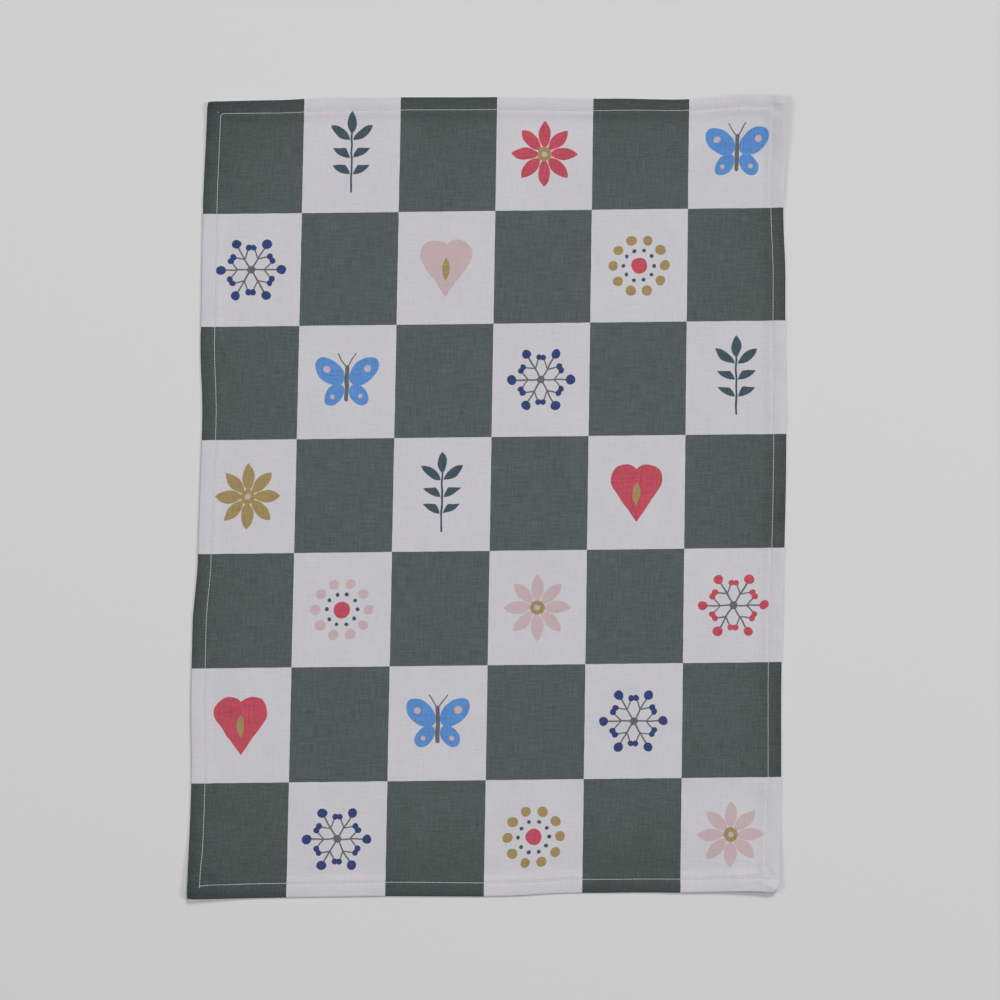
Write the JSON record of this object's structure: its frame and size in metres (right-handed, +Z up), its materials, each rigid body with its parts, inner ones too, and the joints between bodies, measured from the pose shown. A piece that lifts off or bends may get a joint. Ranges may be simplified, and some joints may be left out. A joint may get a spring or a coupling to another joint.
{
  "type": "tea towel",
  "caption": "Oblong cotton tea towel lying flat, printed with a plain two-colour chequer and small motifs, with a narrow stitched hem on all sides and slightly lifted corners.",
  "frame": {"origin": "centre of the towel's box, on the surface that it lies on", "axes": "+X across the towel, +Y along its length towards its top edge, +Z up out of the printed face"},
  "size_m": [0.5108, 0.6864, 0.006],
  "materials": {
    "cloth": "matt plain-weave cotton, off-white ground printed with a dark green chequer and small coloured motifs"
  },
  "bodies": {
    "root": {"cloth": "cloth"}
  },
  "joints": []
}
